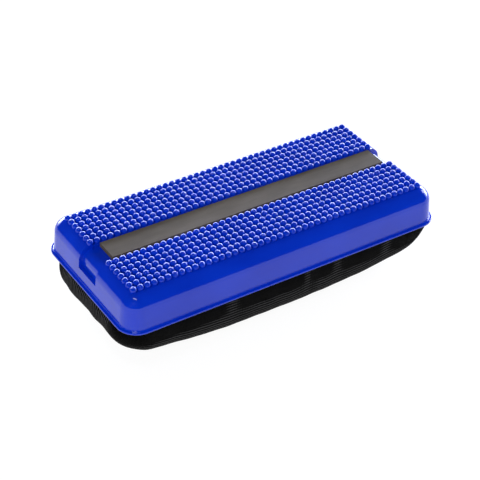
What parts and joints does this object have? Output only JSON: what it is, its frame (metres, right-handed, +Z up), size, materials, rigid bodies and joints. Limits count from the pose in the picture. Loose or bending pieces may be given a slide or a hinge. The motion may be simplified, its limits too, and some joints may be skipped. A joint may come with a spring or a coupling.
{
  "type": "magnetic glass cleaner",
  "caption": "Hand-held magnetic glass cleaner: a blue beaded scrubber half with a magnet strip, stored on a black cloth-covered wiper half that pulls off.",
  "frame": {"origin": "on the ground under the middle of the wiper pad, at the bottom centre of the whole cleaner", "axes": "+X along the body's length, +Y across it, +Z up from the cloth pad towards the bead face"},
  "size_m": [0.12, 0.056, 0.0293],
  "materials": {
    "shell_blue": "glossy moulded plastic",
    "magnet_strip": "matte flexible magnet",
    "strip_tape": "black adhesive tape",
    "ferrite": "pressed and sintered ferrite",
    "tray_plastic": "natural moulded plastic",
    "gasket_rubber": "soft black rubber",
    "screw_steel": "stainless steel",
    "keeper_steel": "zinc plated steel",
    "cloth_black": "ribbed knitted cloth",
    "elastic_black": "braided elastic",
    "foam_grey": "open-cell foam",
    "board_plastic": "black moulded plastic"
  },
  "bodies": {
    "wiper_half": {"cloth_cover": "cloth_black", "hem_elastic": "elastic_black", "foam_core": "foam_grey", "foam_adhesive_film": "strip_tape", "pad_board": "board_plastic", "pad_magnet_1": "ferrite", "pad_magnet_2": "ferrite", "pad_magnet_3": "ferrite", "keeper_plate": "keeper_steel", "keeper_screws": "screw_steel"},
    "scrubber_half": {"scrubber_shell": "shell_blue", "face_magnet_strip": "magnet_strip", "strip_tape": "strip_tape", "block_magnet_1": "ferrite", "block_magnet_2": "ferrite", "block_magnet_3": "ferrite", "magnet_cradle": "tray_plastic", "base_cover": "shell_blue", "cover_gasket": "gasket_rubber", "cover_screws": "screw_steel"}
  },
  "joints": [
    {"name": "halves_part", "type": "slide", "parent": "wiper_half", "child": "scrubber_half", "axis": [0, 0, 1], "range_m": [0, 0.04]}
  ]
}
